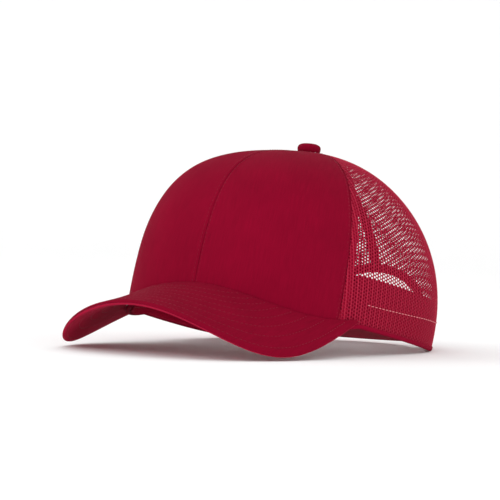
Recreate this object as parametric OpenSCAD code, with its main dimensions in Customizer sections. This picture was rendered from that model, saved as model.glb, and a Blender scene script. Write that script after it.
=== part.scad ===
// Trucker mesh cap: a curved visor, two fabric front panels over buckram, four open mesh
// panels, a top button, a sweatband and a two-strap snap closure across the back arch.
// The crown is one surface, crown(angle, climb): angle runs round the head from the front
// centre (0) past the wearer's left (+90) to the centre back (180), climb runs from the hem
// (0) to the top (1). Every sewn layer is a slice of that surface at its own depth.

/* [Rim] */
// Half the width of the rim, ear to ear
rim_half_width = 79.5; // [76:0.5:86]
// Half the length of the rim, front to back
rim_half_length = 104; // [99:1:108]
// Squareness of the rim at the front (2 is an ellipse)
front_square = 2.85; // [2.2:0.05:2.9]
// Squareness of the rim at the back
back_square = 2.0; // [1.9:0.1:2.2]
// How far the hem falls from the visor corner to the back
side_drop = 10.5; // [6:0.5:14]
// How far the hem lifts again at the centre back
back_rise = 12; // [6:0.5:13]

/* [Crown] */
// Height of the crown above the visor corners
crown_height = 105; // [98:0.5:116]
// How far the button sits behind the middle of the rim
apex_back = 8; // [0:0.5:10]
// Angle of the seam between front and side panels
front_seam = 56.5; // [50:0.5:58]
// How far the front seam swings forward on its way down to the hem, in degrees
seam_swing = 7; // [0:0.5:8]
// Angle of the seam between side and back panels
back_seam = 122; // [116:1:126]

/* [Fabrics] */
// Thickness of the front twill
twill_t = 0.9; // [0.6:0.1:1]
// Thickness of the buckram behind it
buckram_t = 0.6; // [0.4:0.1:0.8]
// Thickness of the mesh
mesh_t = 0.8; // [0.6:0.1:0.9]
// Thickness of the seam tape
tape_t = 0.6; // [0.4:0.1:0.7]
// Width of the seam tape behind the front seams
tape_w = 12; // [8:1:14]
// Width of the seam tape on the back seams
back_tape_w = 7; // [6:1:12]
// Thickness of the sweatband
sweat_t = 1.5; // [1:0.1:2]
// Height of the sweatband
sweat_h = 30; // [26:1:34]

/* [Visor] */
// Visor length, from the crown to the front edge
visor_length = 60.5; // [58:0.5:72]
// Half the width of the visor
visor_half_width = 82; // [79:0.5:86]
// Squareness of the visor outline
visor_square = 2.8; // [2.6:0.1:3.4]
// Radius of the visor's arch at the crown
arch_r_crown = 101; // [98:1:125]
// Radius of the visor's arch at the front edge
arch_r_front = 83; // [82:1:110]
// Downward slope of the visor's middle
visor_slope = 0.31; // [0.2:0.01:0.36]
// Angle round the rim at which the visor ends
visor_end = 60.5; // [57:0.5:61]
// Depth of the hem below the visor's top at its corners
hem_depth = 5.6; // [4.5:0.1:6]
// Thickness of the visor board
board_t = 1.8; // [1.4:0.1:2]
// Thickness of each visor fabric
visor_cloth_t = 0.65; // [0.5:0.05:0.7]

/* [Button] */
// Radius of the covered button
button_r = 7.1; // [6:0.1:7.5]
// Height of the covered button
button_h = 6.3; // [4.5:0.1:6.5]

/* [Back opening and closure] */
// Half the angle that the back arch spans at the hem
arch_half = 28; // [25:1:30]
// Height of the back arch above the hem
arch_h = 40; // [38:1:60]
// Outer radius of the outer strap
strap_r = 60; // [59:0.5:60]
// Strap thickness
strap_t = 1.2; // [1:0.1:1.3]
// Strap height
strap_h = 19; // [17:0.5:20]
// Radius of the snap holes
hole_r = 2.7; // [2.6:0.1:3]
// Radius of the snap studs
stud_r = 2.0; // [1.8:0.1:2]
// Number of holes, and of studs
snap_count = 7; // [5:1:7]

/* [Standing] */
// Nose-up pitch at which visor corners and back hem touch the table together
rest_pitch = 5; // [3.5:0.1:5.5]

/* [Hidden] */

crimson = [0.56, 0.01, 0.08];
mesh_red = [0.74, 0.02, 0.11];
tape_red = [0.66, 0.02, 0.1];
buckram_white = [0.88, 0.86, 0.82];
strap_red = [0.62, 0.02, 0.08];
steel = [0.7, 0.7, 0.72];
board_grey = [0.82, 0.82, 0.8];

gap = 0.1;                                   // clearance between sewn layers
seam_gap = 0.06;                             // half the clearance at a panel seam, degrees
panel_rows = 14;                             // rows of facets from hem to top
top_climb = 0.98;                            // where the panels stop under the button
buckram_d = twill_t + gap;                   // depth of the buckram's outer face
front_tape_d = buckram_d + buckram_t + 0.25; // depth of the tapes behind the buckram
mesh_tape_d = mesh_t + 0.25;                 // depth of the tapes behind mesh only
sweat_d = front_tape_d + tape_t + 0.25;      // depth of the sweatband
sweat_end = 143;                             // angle at which the sweatband stops

// profile handles [lean, rise, shoulder] of the crown at the front, side and back
handles_front = [0.1, 0.77, 0.73];
handles_side = [-0.17, 0.54, 0.95];
handles_back = [-0.16, 0.72, 0.3];

function clamp(x, lo, hi) = min(hi, max(lo, x));
function ease(a, b, x) = let (u = clamp((x - a) / (b - a), 0, 1)) u * u * (3 - 2 * u);
function flat(list) = [for (row = list) each row];
function unit(v) = v / norm(v);
// radius of a superellipse with half axes a and b, and exponent n, at angle q from b
function oval(a, b, n, q) = pow(pow(abs(sin(q)) / a, n) + pow(abs(cos(q)) / b, n), -1 / n);

// the rim in plan
function rim_power(q) = back_square + (front_square - back_square) * (1 + cos(q)) / 2;
function rim(q) =
    let (r = oval(rim_half_width, rim_half_length, rim_power(q), q)) [r * sin(q), -r * cos(q)];
corner = rim(visor_end);

// the visor's top surface: an arch across, a slope that eases towards the front
function arch_radius(y) =
    arch_r_crown
    + (arch_r_front - arch_r_crown) * clamp((-y - rim_half_length) / visor_length, -1, 1.2);
function arch_fall(x, y) = let (r = arch_radius(y)) r - sqrt(r * r - x * x);
function slope_fall(y) =
    let (ahead = y + rim_half_length) visor_slope * ahead - 0.001 * ahead * abs(ahead);
function visor_raw(x, y) = slope_fall(y) - arch_fall(x, y);
visor_base = hem_depth - visor_raw(corner[0], corner[1]);
function visor_z(x, y) = visor_base + visor_raw(x, y);

// height of the hem round the rim
function hem(q) =
    let (a = abs(q), p = rim(q), u = clamp((a - visor_end) / (180 - visor_end), 0, 1))
    a < visor_end
        ? visor_z(p[0], p[1]) - hem_depth
        : back_rise * ease(120, 180, a) - side_drop * sin(90 * u);

// crown surface, its normal, and a point at a depth below it
function handle(q, i) =
    let (f = (1 + cos(q)) / 2)
    handles_front[i] * f * f + 2 * handles_side[i] * f * (1 - f)
    + handles_back[i] * (1 - f) * (1 - f);
function reach(q, t) =
    let (m = 1 - t) m * m * m + 3 * m * m * t * (1 - handle(q, 0)) + 3 * m * t * t * handle(q, 2);
function climb(q, t) =
    let (m = 1 - t) 3 * m * m * t * handle(q, 1) + 3 * m * t * t + t * t * t;
// angle that the grain line q has at climb t: towards the hem the front seams swing forward
function swing(q, t) =
    let (a = abs(q), near = a < front_seam ? a / front_seam : ease(back_seam, front_seam, a))
    q - sign(q) * seam_swing * pow(1 - t, 3) * near;
function crown(q0, t) =
    let (q = swing(q0, t), p = rim(q), r = reach(q, t), z = hem(q))
    [p[0] * r, apex_back * (1 - r) + p[1] * r, z + (crown_height - z) * climb(q, t)];
function crown_out(q, t) =
    unit(cross(crown(q + 0.5, t) - crown(q - 0.5, t), crown(q, t + 0.004) - crown(q, t - 0.004)));
function at_depth(q, t, d) = crown(q, t) - d * crown_out(q, t);
// climb at which the crown is h above the hem, by halving
function climb_at(q, h, lo = 0, hi = 0.7, n = 18) =
    let (mid = (lo + hi) / 2, z = (crown_height - hem(q)) * climb(q, mid))
    n == 0 ? mid : z < h ? climb_at(q, h, mid, hi, n - 1) : climb_at(q, h, lo, mid, n - 1);

// the back arch: p runs 0 to 180 over it from the wearer's left, and 90 is its top
function arch_angle(p) = let (q = 180 - arch_half * cos(p)) q > 180 ? q - 360 : q;
function arch_climb(p) = climb_at(arch_angle(p), arch_h * sin(p));

// closed solid between two grids of points; seen from outside, columns go right, rows go up
module slab(outside, inside) {
    c = len(outside);
    r = len(outside[0]);
    n = c * r;
    function o(i, j) = i * r + j;
    skin = [for (i = [0 : c - 2], j = [0 : r - 2]) each [
        [o(i, j), o(i, j + 1), o(i + 1, j + 1)],
        [o(i, j), o(i + 1, j + 1), o(i + 1, j)],
        [n + o(i, j), n + o(i + 1, j + 1), n + o(i, j + 1)],
        [n + o(i, j), n + o(i + 1, j), n + o(i + 1, j + 1)]]];
    ends = [for (i = [0 : c - 2]) each [
        [o(i, 0), o(i + 1, 0), n + o(i + 1, 0)],
        [o(i, 0), n + o(i + 1, 0), n + o(i, 0)],
        [o(i + 1, r - 1), o(i, r - 1), n + o(i, r - 1)],
        [o(i + 1, r - 1), n + o(i, r - 1), n + o(i + 1, r - 1)]]];
    sides = [for (j = [0 : r - 2]) each [
        [o(0, j + 1), o(0, j), n + o(0, j)],
        [o(0, j + 1), n + o(0, j), n + o(0, j + 1)],
        [o(c - 1, j), o(c - 1, j + 1), n + o(c - 1, j + 1)],
        [o(c - 1, j), n + o(c - 1, j + 1), n + o(c - 1, j)]]];
    polyhedron(concat(flat(outside), flat(inside)), concat(skin, ends, sides), convexity = 6);
}

// a layer of the crown over columns [angle, lowest climb], between two depths
module crown_layer(columns, d0, d1, top = top_climb, rows = panel_rows) {
    grid = [for (d = [d0, d1]) [for (c = columns) [for (j = [0 : rows])
        at_depth(c[0], c[1] + (top - c[1]) * j / rows, d)]]];
    slab(grid[0], grid[1]);
}

function even_columns(a, b, n) =
    [for (i = [0 : n]) [a + seam_gap + (b - a - 2 * seam_gap) * i / n, 0]];

// columns of a back panel: plain ones that close up towards the arch, then along its edge
function back_columns() = concat(
    [for (i = [0 : 6]) let (from = back_seam + seam_gap, share = 1 - pow(1 - i / 6, 1.6))
        [from + (180 - arch_half - from) * share, 0]],
    [for (i = [1 : 8]) let (p = i * 11.25)
        [min(arch_angle(p), 180 - seam_gap), arch_climb(p)]]);
function mirrored(columns) =
    [for (i = [len(columns) - 1 : -1 : 0]) [-columns[i][0], columns[i][1]]];

module seam_tape(q, d, width = tape_w, low = 0, rows = panel_rows) {
    climbs = [for (j = [0 : rows - 1]) low + (top_climb - low) * j / rows];
    function half(t) =
        let (along = norm(crown(q + 0.5, t) - crown(q - 0.5, t))) min(width / 2 / along, 18);
    grid = [for (e = [d, d + tape_t]) [for (s = [-1, 0, 1]) [for (t = climbs)
        at_depth(q + s * half(t), t, e)]]];
    slab(grid[0], grid[1]);
}

// outline of the visor at angle p, -90 to 90 from corner to corner, pulled in by an inset
visor_reach = rim_half_length + visor_length + corner[1];
function visor_edge(p, inset) =
    let (r = oval(visor_half_width, visor_reach, visor_square, p) - inset,
         x = r * sin(p), back = r * cos(p),
         pinch = pow(max(0, 1 - back / visor_reach), 2.5) * (1 - corner[0] / visor_half_width))
    [x * (1 - pinch), corner[1] - back];

// stands the cap on its visor corners and back hem, centred over the origin
function stood(p) =
    [p[0], p[1] * cos(rest_pitch) + p[2] * sin(rest_pitch),
     p[2] * cos(rest_pitch) - p[1] * sin(rest_pitch)];
visor_t = board_t + 2 * visor_cloth_t + 2 * gap;
edge_low = [for (i = [-86 : 2 : 86]) let (e = visor_edge(i, 0)) stood([e[0], e[1],
    visor_z(e[0], e[1]) - visor_t])];
hem_low = [for (q = [60 : 2 : 180]) stood(crown(q, 0))];
back_out = [for (c = back_columns(), j = [0 : 20])
    stood(at_depth(c[0], c[1] + 0.02 * j, -1))[1]];
floor_z = min([for (p = concat(edge_low, hem_low)) p[2]]);
middle_y = (min([for (p = edge_low) p[1]]) + max(back_out)) / 2;
module standing() {
    translate([0, -middle_y, -floor_z])
        rotate([-rest_pitch, 0, 0])
            children();
}

visor_cols = 28;
visor_rows = 6;
board_inset = 1.6;
visor_span = 0.955;                          // keeps the corners blunt
function visor_inner(u) =
    let (q = u * (visor_end - 0.3), p = rim(q), e = rim(q + 0.5) - rim(q - 0.5))
    p + 0.35 * [e[1], -e[0]] / norm(e);
function visor_point(u, s, inset) =
    let (e = visor_edge(u * 90 * visor_span, inset * (1 - 0.6 * pow(abs(u), 8))),
         c = visor_inner(u))
    e * (1 - s) + c * s;

// one sheet of the visor: rows is a list of [share of the way in, inset, top depth, low depth]
module visor_sheet(rows) {
    grid = [for (k = [2, 3]) [for (i = [0 : visor_cols]) [for (w = rows)
        let (p = visor_point(i / visor_cols * 2 - 1, w[0], w[1]))
        [p[0], p[1], visor_z(p[0], p[1]) - w[k]]]]];
    slab(grid[0], grid[1]);
}
function inward(top, low, inset) = [for (j = [0 : visor_rows]) [j / visor_rows, inset, top, low]];
visor_mid = visor_t / 2;

module front_panel(columns) { color(crimson) crown_layer(columns, 0, twill_t); }
module front_buckram(columns) {
    color(buckram_white) crown_layer(columns, buckram_d, buckram_d + buckram_t);
}
module mesh_panel(columns) { color(mesh_red) crown_layer(columns, 0, mesh_t); }

module front_panel_left() { front_panel(even_columns(0, front_seam, 9)); }
module front_panel_right() { front_panel(even_columns(-front_seam, 0, 9)); }
module front_buckram_left() { front_buckram(even_columns(0, front_seam, 9)); }
module front_buckram_right() { front_buckram(even_columns(-front_seam, 0, 9)); }
module side_mesh_left() { mesh_panel(even_columns(front_seam, back_seam, 10)); }
module side_mesh_right() { mesh_panel(even_columns(-back_seam, -front_seam, 10)); }
module back_mesh_left() { mesh_panel(back_columns()); }
module back_mesh_right() { mesh_panel(mirrored(back_columns())); }

module seam_tape_front() { color(tape_red) seam_tape(0, front_tape_d); }
module seam_tape_front_left() { color(tape_red) seam_tape(front_seam, front_tape_d); }
module seam_tape_front_right() { color(tape_red) seam_tape(-front_seam, front_tape_d); }
module seam_tape_back_left() { color(tape_red) seam_tape(back_seam, mesh_tape_d, back_tape_w); }
module seam_tape_back_right() { color(tape_red) seam_tape(-back_seam, mesh_tape_d, back_tape_w); }
module seam_tape_back() {
    color(tape_red) seam_tape(180, mesh_tape_d + 0.1, back_tape_w, climb_at(180, arch_h + 5), 10);
}

// folded tape round the arch: a U that holds the mesh edge between its two legs
module arch_binding() {
    leg = 4;
    lip = 0.9;
    cover = 0.4;
    room = 0.6;
    low = mesh_t + room;
    section = [[-lip, -room - cover], [leg, -room - cover], [leg, -room], [cover - lip, -room],
        [cover - lip, low], [leg, low], [leg, low + cover], [-lip, low + cover]];
    steps = 16;
    n = len(section);
    function edge(p) = crown(arch_angle(p), arch_climb(p));
    rings = [for (k = [0 : steps])
        let (p = k * 180 / steps, out = crown_out(arch_angle(p), arch_climb(p)),
             ahead = unit(edge(min(p + 1, 180)) - edge(max(p - 1, 0))),
             away = unit(cross(out, ahead)))
        [for (s = section) edge(p) + s[0] * away - s[1] * out]];
    walls = [for (k = [0 : steps - 1], i = [0 : n - 1]) let (j = (i + 1) % n) each [
        [k * n + i, k * n + j, (k + 1) * n + j],
        [k * n + i, (k + 1) * n + j, (k + 1) * n + i]]];
    cap = [[0, 2, 1], [0, 3, 2], [0, 4, 3], [0, 7, 4], [7, 5, 4], [7, 6, 5]];
    last = steps * n;
    caps = concat(cap, [for (f = cap) [last + f[2], last + f[1], last + f[0]]]);
    color(tape_red) polyhedron(flat(rings), concat(walls, caps), convexity = 6);
}

module sweatband() {
    columns = [for (i = [0 : 48]) -sweat_end + 2 * sweat_end * i / 48];
    grid = [for (d = [sweat_d, sweat_d + sweat_t]) [for (q = columns) [for (j = [0 : 4])
        at_depth(q, climb_at(q, sweat_h * j / 4), d)]]];
    color(tape_red) slab(grid[0], grid[1]);
}

// past the board's edge the two fabrics thicken to meet on its mid line
module visor_top_fabric() {
    under = visor_mid - gap / 2;
    rows = concat([[0, 0, 0, under], [0, board_inset - 0.3, 0, under]],
        inward(0, visor_cloth_t, board_inset - 0.2));
    color(crimson) visor_sheet(rows);
}
module visor_board() {
    top = visor_cloth_t + gap;
    color(board_grey) visor_sheet(inward(top, top + board_t, board_inset));
}
module visor_under_fabric() {
    over = visor_mid + gap / 2;
    rows = concat([[0, 0, over, visor_t], [0, board_inset - 0.3, over, visor_t]],
        inward(visor_t - visor_cloth_t, visor_t, board_inset - 0.2));
    color(crimson) visor_sheet(rows);
}

// the button: cloth over a pressed shell, and a rivet through the crown into a washer
module at_apex() {
    translate([0, apex_back, crown_height])
        rotate_extrude($fn = 48)
            children();
}
module dome(r, h, base) {
    intersection() {
        translate([0, base + h - r * 1.6])
            circle(r = r * 1.6, $fn = 96);
        translate([0, base])
            square([r, h]);
    }
}
shell_r = button_r - 0.8;
shell_h = button_h - 0.8;
module button_cover() {
    color(crimson)
        at_apex()
            difference() {
                dome(button_r, button_h, 0.1);
                dome(shell_r + 0.1, shell_h + 0.1, 0.1);
                translate([-20, -20])
                    square([20, 40]);
            }
}
module button_shell() {
    color(steel)
        at_apex()
            difference() {
                dome(shell_r, shell_h, 0.1);
                translate([-1, -1])
                    square([2.7, 3.4]);
                translate([2.4, -1])
                    square([shell_r - 3, 2.6]);
                translate([-20, -20])
                    square([20, 40]);
            }
}
module button_rivet() {
    color(steel)
        at_apex() {
            translate([0, -5])
                square([1.5, 7.2]);
        }
}
module button_washer() {
    color(steel)
        at_apex()
            translate([1.6, -4.8])
                square([5, 0.9]);
}

// closure straps: bands of a circle that follows the back of the rim
strap_centre_y = rim_half_length - 1.6 - strap_r;
strap_low = -2.5;
strap_mid = strap_low + strap_h / 2;
snap_pitch = 9.2;                            // degrees from one snap to the next
flex_angle = 40;                             // where each strap starts to flex
strap_tip = 19.8;                            // centre of a strap's round end
bead_r = 0.75;                               // bead at the flex line
inner_r = strap_r - strap_t - 0.4;           // outer radius of the strap with studs
first_snap = -(snap_count / 2) * snap_pitch;
// turns about the strap's centre: 0 points straight back, + towards the wearer's left
module round_strap(q) {
    translate([0, strap_centre_y, strap_mid])
        rotate([0, 0, 90 - q])
            children();
}
module band(r, from, to) {
    round_strap(to)
        rotate_extrude(angle = to - from, $fn = 180)
            translate([r - strap_t, -strap_h / 2])
                square([strap_t, strap_h]);
}
// a strap with its bead at the flex line and a tongue end; side is -1 when it is rooted on
// the wearer's right and reaches left, +1 the other way
module strap_body(r, side) {
    tongue_r = strap_h / 2 + 1;
    reach = strap_tip + 9;
    intersection() {
        band(r, side < 0 ? -flex_angle : -reach, side < 0 ? reach : flex_angle);
        round_strap(-side * strap_tip)
            rotate([0, 90, 0])
                linear_extrude(strap_r + 10)
                    rotate(side * 90) {
                        circle(r = tongue_r, $fn = 64);
                        translate([-120, -tongue_r])
                            square([120 + 3, 2 * tongue_r]);
                    }
    }
    round_strap(side * flex_angle)
        translate([r - strap_t / 2, 0, 0.4 - strap_h / 2])
            cylinder(r = bead_r, h = strap_h - 0.8, $fn = 32);
}
// holes from near the root on the wearer's right to the free end
module strap_with_holes() {
    color(strap_red)
        difference() {
            strap_body(strap_r, -1);
            for (i = [0 : snap_count - 1])
                round_strap(first_snap + i * snap_pitch)
                    translate([strap_r - 4, 0, 0])
                        rotate([0, 90, 0])
                            cylinder(r = hole_r, h = 8, $fn = 32);
        }
}
module strap_with_studs() {
    stud_h = strap_t / 2 + 0.4 + strap_t + 0.9;
    color(strap_red) {
        strap_body(inner_r, 1);
        for (i = [0 : snap_count - 1])
            round_strap(-first_snap - i * snap_pitch)
                translate([inner_r - strap_t / 2, 0, 0])
                    rotate([0, 90, 0])
                        cylinder(r = stud_r, h = stud_h, $fn = 32);
    }
}
anchor_from = flex_angle + 1.1;
anchor_to = 57;
module strap_anchor_left() { color(strap_red) band(inner_r, anchor_from, anchor_to); }
module strap_anchor_right() { color(strap_red) band(strap_r, -anchor_to, -anchor_from); }

standing() front_panel_left();
standing() front_panel_right();
standing() front_buckram_left();
standing() front_buckram_right();
standing() side_mesh_left();
standing() side_mesh_right();
standing() back_mesh_left();
standing() back_mesh_right();
standing() seam_tape_front();
standing() seam_tape_front_left();
standing() seam_tape_front_right();
standing() seam_tape_back_left();
standing() seam_tape_back_right();
standing() seam_tape_back();
standing() arch_binding();
standing() sweatband();
standing() visor_top_fabric();
standing() visor_board();
standing() visor_under_fabric();
standing() button_cover();
standing() button_shell();
standing() button_rivet();
standing() button_washer();
standing() strap_with_holes();
standing() strap_with_studs();
standing() strap_anchor_left();
standing() strap_anchor_right();
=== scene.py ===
"""Looks of the trucker mesh cap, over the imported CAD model.

Lengths in the formulas are millimetres in the cap's own frame, where the visor corners lie at
height 0. row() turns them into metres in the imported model's frame, in which the cap stands on
its visor corners and back hem.
"""

import math

import bpy
import numpy as np
from mathutils import Matrix, Vector


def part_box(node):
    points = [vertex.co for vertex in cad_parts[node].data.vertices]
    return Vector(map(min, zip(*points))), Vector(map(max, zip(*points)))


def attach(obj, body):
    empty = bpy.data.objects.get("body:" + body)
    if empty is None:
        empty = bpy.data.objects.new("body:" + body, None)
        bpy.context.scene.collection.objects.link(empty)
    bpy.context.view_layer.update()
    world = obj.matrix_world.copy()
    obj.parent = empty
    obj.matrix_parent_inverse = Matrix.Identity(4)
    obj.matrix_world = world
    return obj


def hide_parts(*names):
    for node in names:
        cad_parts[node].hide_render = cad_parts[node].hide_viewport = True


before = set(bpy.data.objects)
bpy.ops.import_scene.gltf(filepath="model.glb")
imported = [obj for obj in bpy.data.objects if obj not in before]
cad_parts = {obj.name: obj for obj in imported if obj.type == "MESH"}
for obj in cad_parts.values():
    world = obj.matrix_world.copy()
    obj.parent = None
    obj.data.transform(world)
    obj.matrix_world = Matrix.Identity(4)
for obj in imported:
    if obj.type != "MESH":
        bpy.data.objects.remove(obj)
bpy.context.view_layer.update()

# ---------------------------------------------------------------- camera

# Degrees
CAMERA_AZIMUTH, CAMERA_ELEVATION, CAMERA_ROLL = 33.1, 1.12, 2.09
# Metres, and millimetres for the lens
CAMERA_TARGET, CAMERA_DISTANCE, CAMERA_LENS = (-0.0132, 0.0046, 0.0571), 1.5, 180.5


def add_camera():
    azimuth, elevation, roll = (math.radians(a) for a in (CAMERA_AZIMUTH, CAMERA_ELEVATION,
                                                          CAMERA_ROLL))
    back = Vector((math.sin(azimuth) * math.cos(elevation),
                   -math.cos(azimuth) * math.cos(elevation), math.sin(elevation)))
    right = Vector((math.cos(azimuth), math.sin(azimuth), 0))
    up = back.cross(right)
    x = right * math.cos(roll) + up * math.sin(roll)
    y = up * math.cos(roll) - right * math.sin(roll)
    data = bpy.data.cameras.new("camera")
    data.lens, data.sensor_width = CAMERA_LENS, 36
    data.clip_start, data.clip_end = 0.05, 50
    camera = bpy.data.objects.new("camera", data)
    bpy.context.scene.collection.objects.link(camera)
    place = Matrix((x, y, back)).transposed().to_4x4()
    place.translation = Vector(CAMERA_TARGET) + back * CAMERA_DISTANCE
    camera.matrix_world = place
    bpy.context.scene.camera = camera


add_camera()

# ---------------------------------------------------------------- the cap's surface

RIM_HALF_WIDTH, RIM_HALF_LENGTH = 79.5, 104.0
FRONT_SQUARE, BACK_SQUARE = 2.85, 2.0
SIDE_DROP, BACK_RISE = 10.5, 12.0
CROWN_HEIGHT, APEX_BACK = 105.0, 8.0
FRONT_SEAM, SEAM_SWING, BACK_SEAM = 56.5, 7.0, 122.0
TWILL, BUCKRAM, MESH, TAPE = 0.9, 0.6, 0.8, 0.6
TAPE_WIDTH, BACK_TAPE_WIDTH = 12.0, 7.0
SWEAT, SWEAT_HEIGHT, SWEAT_END = 1.5, 30.0, 143.0
VISOR_LENGTH, VISOR_HALF_WIDTH, VISOR_SQUARE = 60.5, 82.0, 2.8
ARCH_CROWN, ARCH_FRONT, VISOR_SLOPE = 101.0, 83.0, 0.31
VISOR_END, HEM_DEPTH = 60.5, 5.6
BOARD, VISOR_CLOTH = 1.8, 0.65
BUTTON_R, BUTTON_H = 7.1, 6.3
ARCH_HALF, ARCH_HEIGHT = 28.0, 40.0
PITCH = math.radians(5.0)
GAP, TOP = 0.1, 0.98
BUCKRAM_DEPTH = TWILL + GAP
FRONT_TAPE_DEPTH = BUCKRAM_DEPTH + BUCKRAM + 0.25
MESH_TAPE_DEPTH = MESH + 0.25
SWEAT_DEPTH = FRONT_TAPE_DEPTH + TAPE + 0.25
LEAN_RISE_SHOULDER = {"front": (0.1, 0.77, 0.73), "side": (-0.17, 0.54, 0.95),
                      "back": (-0.16, 0.72, 0.3)}


def sin(a):
    return np.sin(np.radians(a))


def cos(a):
    return np.cos(np.radians(a))


def ease(a, b, x):
    u = np.clip((x - a) / (b - a), 0.0, 1.0)
    return u * u * (3 - 2 * u)


def bump(x, width):
    return np.exp(-(np.asarray(x, float) / width) ** 2)


def oval(a, b, n, q):
    return ((np.abs(sin(q)) / a) ** n + (np.abs(cos(q)) / b) ** n) ** (-1 / n)


def rim(q):
    power = BACK_SQUARE + (FRONT_SQUARE - BACK_SQUARE) * (1 + cos(q)) / 2
    r = oval(RIM_HALF_WIDTH, RIM_HALF_LENGTH, power, q)
    return r * sin(q), -r * cos(q)


CORNER_X, CORNER_Y = (float(v) for v in rim(VISOR_END))


def visor_raw(x, y):
    ahead = y + RIM_HALF_LENGTH
    radius = ARCH_CROWN + (ARCH_FRONT - ARCH_CROWN) * np.clip(-ahead / VISOR_LENGTH, -1, 1.2)
    x = np.clip(x, -0.98 * radius, 0.98 * radius)
    return (VISOR_SLOPE * ahead - 0.001 * ahead * np.abs(ahead)
            - radius + np.sqrt(radius * radius - x * x))


def visor_z(x, y):
    return HEM_DEPTH - visor_raw(CORNER_X, CORNER_Y) + visor_raw(x, y)


def hem(q):
    a = np.abs(q)
    x, y = rim(q)
    u = np.clip((a - VISOR_END) / (180 - VISOR_END), 0.0, 1.0)
    return np.where(a < VISOR_END, visor_z(x, y) - HEM_DEPTH,
                    BACK_RISE * ease(120, 180, a) - SIDE_DROP * sin(90 * u))


def handle(q, i):
    f = (1 + cos(q)) / 2
    front, side, back = (LEAN_RISE_SHOULDER[k][i] for k in ("front", "side", "back"))
    return front * f * f + 2 * side * f * (1 - f) + back * (1 - f) ** 2


def climb(q, t):
    m = 1 - t
    return 3 * m * m * t * handle(q, 1) + 3 * m * t * t + t ** 3


def crown(q, t):
    """Point of the crown's outside at grain line q, in degrees from the front, and climb t."""
    q, t = np.broadcast_arrays(np.asarray(q, float), np.asarray(t, float))
    a = np.abs(q)
    near = np.where(a < FRONT_SEAM, a / FRONT_SEAM, ease(BACK_SEAM, FRONT_SEAM, a))
    q = q - np.sign(q) * SEAM_SWING * (1 - t) ** 3 * near
    x, y = rim(q)
    z, m = hem(q), 1 - t
    r = m ** 3 + 3 * m * m * t * (1 - handle(q, 0)) + 3 * m * t * t * handle(q, 2)
    return np.stack([x * r, APEX_BACK * (1 - r) + y * r, z + (CROWN_HEIGHT - z) * climb(q, t)],
                    -1)


def unit(v):
    return v / np.maximum(np.linalg.norm(v, axis=-1, keepdims=True), 1e-12)


def crown_out(q, t):
    return unit(np.cross(crown(q + 0.5, t) - crown(q - 0.5, t),
                         crown(q, t + 0.004) - crown(q, t - 0.004)))


def skin(q, t, depth):
    return crown(q, t) - np.asarray(depth, float)[..., None] * crown_out(q, t)


def climb_at(q, height):
    """Climb at which the crown is that far above its hem."""
    q, height = np.broadcast_arrays(np.asarray(q, float), np.asarray(height, float))
    low, high = np.zeros_like(q), np.full_like(q, 0.75)
    for _ in range(24):
        mid = (low + high) / 2
        under = (CROWN_HEIGHT - hem(q)) * climb(q, mid) < height
        low, high = np.where(under, mid, low), np.where(under, high, mid)
    return (low + high) / 2


def arch_height(q):
    """How far the back arch reaches above the hem at that angle."""
    u = (180 - np.abs(q)) / ARCH_HALF
    return ARCH_HEIGHT * np.sqrt(np.clip(1 - u * u, 0.0, 1.0))


def arch_edge(p):
    """Angle and climb along the arch's edge, p from 0 to 180."""
    q = 180 - ARCH_HALF * cos(p)
    return q, climb_at(np.where(q > 180, 360 - q, q), ARCH_HEIGHT * sin(p))


VISOR_REACH = RIM_HALF_LENGTH + VISOR_LENGTH + CORNER_Y


def visor_edge(p, inset=0.0):
    r = oval(VISOR_HALF_WIDTH, VISOR_REACH, VISOR_SQUARE, p) - inset
    x, back = r * sin(p), r * cos(p)
    pinch = np.maximum(1 - back / VISOR_REACH, 0) ** 2.5 * (1 - CORNER_X / VISOR_HALF_WIDTH)
    return np.stack([x * (1 - pinch), CORNER_Y - back], -1)


def visor_margin(x, y):
    """How far a point of the visor lies in from the visor's outline."""
    back = CORNER_Y - y
    pinch = np.clip(1 - back / VISOR_REACH, 0, 1) ** 2.5 * (1 - CORNER_X / VISOR_HALF_WIDTH)
    x = np.abs(x) / (1 - pinch)
    p = np.degrees(np.arctan2(x, back))
    return oval(VISOR_HALF_WIDTH, VISOR_REACH, VISOR_SQUARE, p) - np.hypot(x, back)


def turned(p):
    p = np.asarray(p, float)
    y, z = p[..., 1], p[..., 2]
    return np.stack([p[..., 0], y * math.cos(PITCH) + z * math.sin(PITCH),
                     z * math.cos(PITCH) - y * math.sin(PITCH)], -1)


rivet = (np.array(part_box("button_rivet")[0]) + np.array(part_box("button_rivet")[1])) * 500
SHIFT = rivet - turned([0, APEX_BACK, CROWN_HEIGHT - 1.4])


def row(p):
    return (turned(p) + SHIFT) / 1000


# ---------------------------------------------------------------- materials


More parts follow.
